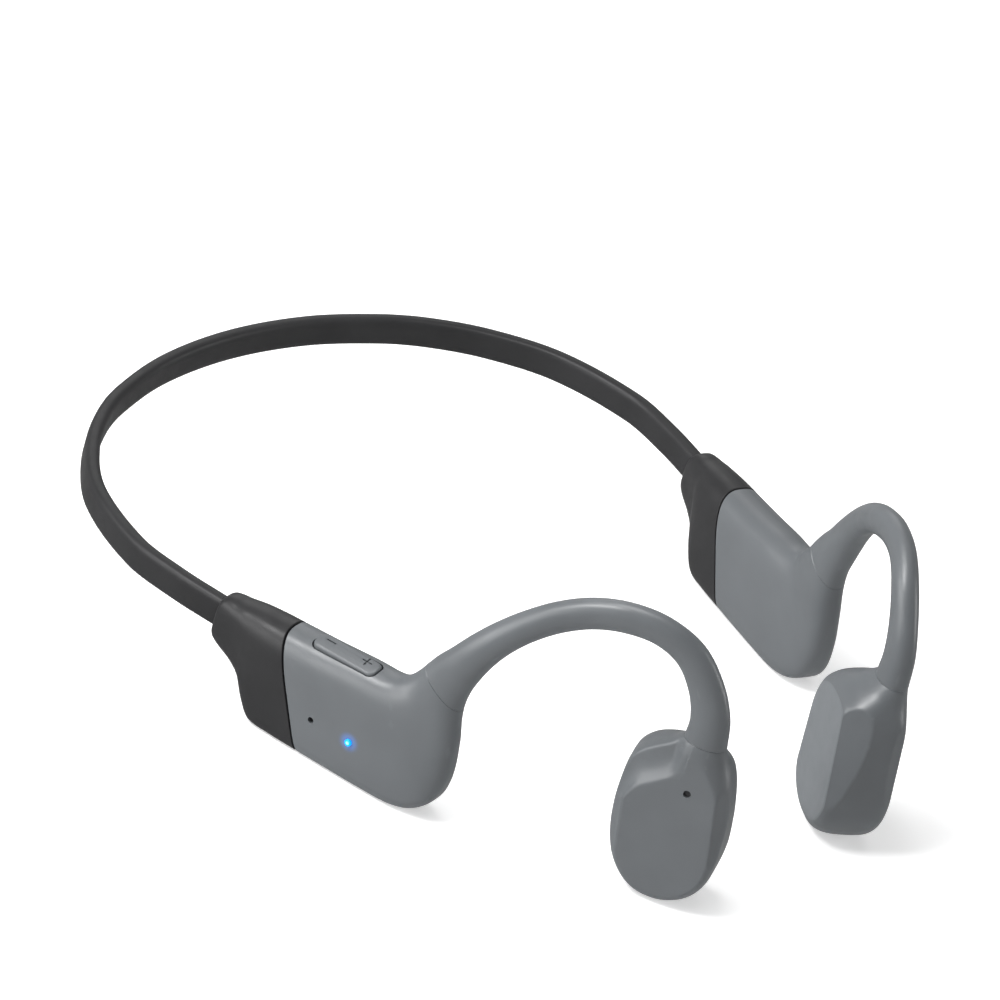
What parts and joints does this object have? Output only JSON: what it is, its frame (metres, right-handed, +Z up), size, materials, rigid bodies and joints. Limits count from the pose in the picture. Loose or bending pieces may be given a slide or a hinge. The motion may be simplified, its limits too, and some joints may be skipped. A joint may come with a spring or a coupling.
{
  "type": "bone conduction headphones",
  "caption": "Wireless neckband headphones with grey arm boxes, ear hooks and flat transducer pods that rest on the cheekbones.",
  "frame": {"origin": "bottom centre of the bounding box, on the surface the headphones stand on", "axes": "+Z up, +Y from the pods to the back of the neckband, +X towards the wearer's left"},
  "size_m": [0.119, 0.146, 0.05],
  "materials": {
    "soft_charcoal": "satin silicone skin of the neckband",
    "boot_dark": "fine matte dark grey",
    "gasket_black": "matte black seam gasket",
    "satin_grey": "satin mid grey, slightly cool",
    "hook_grey": "satin mid grey silicone",
    "pad_grey": "soft mid grey silicone",
    "key_grey": "satin mid grey key",
    "spring_steel": "drawn alloy wire",
    "cable_black": "thin black cable",
    "board_green": "solder-masked board",
    "chip_black": "moulded chip",
    "bare_metal": "plated sheet metal",
    "gold_plate": "gold-plated contact",
    "lamp_blue": "blue status light window",
    "lamp_white": "lamp body",
    "cell_silver": "laminated cell pouch",
    "foam_black": "soft foam",
    "magnet_nickel": "nickel-plated magnet",
    "coil_copper": "enamelled copper winding"
  },
  "bodies": {
    "band": {"band_cover": "soft_charcoal", "band_core_wire": "spring_steel", "band_cable": "cable_black"},
    "arm_right": {"boot_right": "boot_dark", "wire_anchor_right": "chip_black", "seam_gasket_right": "gasket_black", "right_housing": "satin_grey", "main_board": "board_green", "radio_chip": "chip_black", "codec_chip": "chip_black", "board_crystal": "bare_metal", "mems_microphone": "bare_metal", "status_led": "lamp_white", "led_window": "lamp_blue", "switch_strip": "board_green", "switch_rear": "bare_metal", "switch_front": "bare_metal", "rocker_pin": "bare_metal", "charge_contact_rear": "gold_plate", "charge_contact_front": "gold_plate", "keeper_magnet_rear": "magnet_nickel", "keeper_magnet_front": "magnet_nickel", "hook_cover_right": "hook_grey", "hook_wire_right": "spring_steel", "hook_cable_right": "cable_black", "pod_shell_right": "satin_grey", "contact_pad_right": "pad_grey", "pod_microphone": "bare_metal", "drive_bracket_right": "bare_metal", "voice_coil_right": "coil_copper"},
    "arm_left": {"boot_left": "boot_dark", "wire_anchor_left": "chip_black", "seam_gasket_left": "gasket_black", "left_housing": "satin_grey", "battery_cell": "cell_silver", "battery_board": "board_green", "battery_foam": "foam_black", "hook_cover_left": "hook_grey", "hook_wire_left": "spring_steel", "hook_cable_left": "cable_black", "pod_shell_left": "satin_grey", "contact_pad_left": "pad_grey", "button_board": "board_green", "button_switch": "bare_metal", "drive_bracket_left": "bare_metal", "voice_coil_left": "coil_copper"},
    "rocker_key": {"volume_rocker": "key_grey"},
    "button_cap": {"function_button": "key_grey"},
    "driver_right": {"driver_yoke_right": "bare_metal", "driver_magnet_right": "magnet_nickel", "driver_top_plate_right": "bare_metal"},
    "driver_left": {"driver_yoke_left": "bare_metal", "driver_magnet_left": "magnet_nickel", "driver_top_plate_left": "bare_metal"}
  },
  "joints": [
    {"name": "arm_right_flex", "type": "hinge", "parent": "band", "child": "arm_right", "pos_m": [-0.05552, 0.00955, 0.0142], "axis": [0, 0, 1], "range_deg": [-10, 4], "stiffness_Nm_per_rad": 0.6},
    {"name": "arm_left_flex", "type": "hinge", "parent": "band", "child": "arm_left", "pos_m": [0.05552, 0.00955, 0.0142], "axis": [0, 0, 1], "range_deg": [-4, 10], "stiffness_Nm_per_rad": 0.6},
    {"name": "volume_rocker_tilt", "type": "hinge", "parent": "arm_right", "child": "rocker_key", "pos_m": [-0.05034, -0.01389, 0.01864], "axis": [-0.9423, -0.2314, -0.2419], "range_deg": [-1.5, 1.5], "stiffness_Nm_per_rad": 0.02},
    {"name": "function_button_press", "type": "slide", "parent": "arm_left", "child": "button_cap", "axis": [-0.8746, 0.4848, 0], "range_m": [0, 0.0003], "stiffness_N_per_m": 2000},
    {"name": "driver_right_throw", "type": "slide", "parent": "arm_right", "child": "driver_right", "axis": [-0.8746, -0.4848, 0], "range_m": [-0.00015, 0.00015], "stiffness_N_per_m": 9000},
    {"name": "driver_left_throw", "type": "slide", "parent": "arm_left", "child": "driver_left", "axis": [0.8746, -0.4848, 0], "range_m": [-0.00015, 0.00015], "stiffness_N_per_m": 9000}
  ]
}
